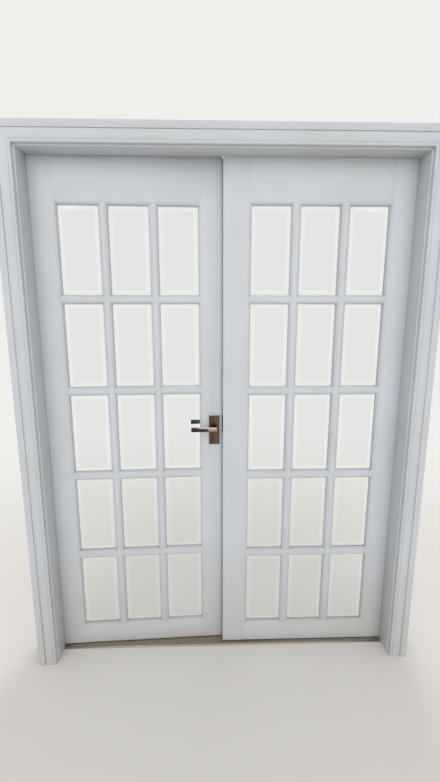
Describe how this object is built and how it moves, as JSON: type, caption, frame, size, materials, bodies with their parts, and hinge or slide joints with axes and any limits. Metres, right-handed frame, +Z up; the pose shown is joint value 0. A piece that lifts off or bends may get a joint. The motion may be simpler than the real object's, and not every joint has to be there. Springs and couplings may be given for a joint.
{
  "type": "french doors",
  "caption": "Pair of glazed internal doors with bevelled panes, hung in a rebated lining with moulded architraves, lever handles, a mortice latch and flush bolts.",
  "frame": {"origin": "on the floor, midway between the jambs, under the front faces of the closed leaves", "axes": "+Z up; -Y towards the room that the leaves swing away from; +X to the right seen from that room"},
  "size_m": [1.571, 0.2244, 2.07],
  "materials": {
    "leaf_paint": "white satin paint on timber",
    "frame_paint": "white satin paint on timber",
    "glass": "clear, bevelled",
    "satin_nickel": "satin nickel",
    "hinge_steel": "satin",
    "lock_steel": "satin",
    "case_steel": "zinc plated",
    "threshold_aluminium": "satin"
  },
  "bodies": {
    "frame": {"front_architrave_head": "frame_paint", "front_architrave_left": "frame_paint", "front_architrave_right": "frame_paint", "head_jamb": "frame_paint", "head_keep": "lock_steel", "left_hinge_frame_plates": "hinge_steel", "left_hinge_frame_screws": "hinge_steel", "left_hinge_pins": "hinge_steel", "left_jamb": "frame_paint", "rear_architrave_head": "frame_paint", "rear_architrave_left": "frame_paint", "rear_architrave_right": "frame_paint", "right_hinge_frame_plates": "hinge_steel", "right_hinge_frame_screws": "hinge_steel", "right_hinge_pins": "hinge_steel", "right_jamb": "frame_paint", "threshold_bar": "threshold_aluminium"},
    "left_leaf": {"backplate_screws": "satin_nickel", "backplate_sleeve_nuts": "satin_nickel", "front_backplate": "satin_nickel", "latch_case": "case_steel", "latch_forend": "lock_steel", "left_bottom_rail": "leaf_paint", "left_cross_bars": "leaf_paint", "left_glazing_beads": "leaf_paint", "left_hinge_leaf_plates": "hinge_steel", "left_hinge_leaf_screws": "hinge_steel", "left_hinge_stile": "leaf_paint", "left_meeting_stile": "leaf_paint", "left_panes": "glass", "left_top_rail": "leaf_paint", "left_upright_bars": "leaf_paint", "rear_backplate": "satin_nickel"},
    "right_leaf": {"bottom_flush_bolt_plate": "satin_nickel", "right_bottom_rail": "leaf_paint", "right_cross_bars": "leaf_paint", "right_glazing_beads": "leaf_paint", "right_hinge_leaf_plates": "hinge_steel", "right_hinge_leaf_screws": "hinge_steel", "right_hinge_stile": "leaf_paint", "right_meeting_stile": "leaf_paint", "right_panes": "glass", "right_top_rail": "leaf_paint", "right_upright_bars": "leaf_paint", "strike_plate": "lock_steel", "top_flush_bolt_plate": "satin_nickel"},
    "levers": {"front_lever": "satin_nickel", "latch_follower": "case_steel", "rear_lever": "satin_nickel", "spindle": "case_steel"},
    "latch_bolt": {"latch_bolt": "lock_steel"},
    "top_flush_bolt": {"top_flush_bolt_rod": "satin_nickel"},
    "bottom_flush_bolt": {"bottom_flush_bolt_rod": "satin_nickel"}
  },
  "joints": [
    {"name": "left_leaf_swing", "type": "hinge", "parent": "frame", "child": "left_leaf", "pos_m": [-0.7065, 0.041, 1], "axis": [0, 0, 1], "range_deg": [-2.6, 102.4]},
    {"name": "right_leaf_swing", "type": "hinge", "parent": "frame", "child": "right_leaf", "pos_m": [0.7065, 0.041, 1], "axis": [0, 0, -1], "range_deg": [0, 105]},
    {"name": "lever_turn", "type": "hinge", "parent": "left_leaf", "child": "levers", "pos_m": [-0.04112, 0.04769, 0.984], "axis": [0.0454, -0.999, 0], "range_deg": [0, 45], "stiffness_Nm_per_rad": 1.5, "springref_deg": -28.65},
    {"name": "latch_bolt_slide", "type": "slide", "parent": "left_leaf", "child": "latch_bolt", "axis": [-0.999, -0.0454, 0], "range_m": [0, 0.011]},
    {"name": "top_flush_bolt_slide", "type": "slide", "parent": "right_leaf", "child": "top_flush_bolt", "axis": [0, 0, 1], "range_m": [0, 0.014]},
    {"name": "bottom_flush_bolt_slide", "type": "slide", "parent": "right_leaf", "child": "bottom_flush_bolt", "axis": [0, 0, -1], "range_m": [0, 0.007]}
  ],
  "couplings": [
    {"joint": "latch_bolt_slide", "follows": "lever_turn", "m_per_rad": 0.014}
  ]
}
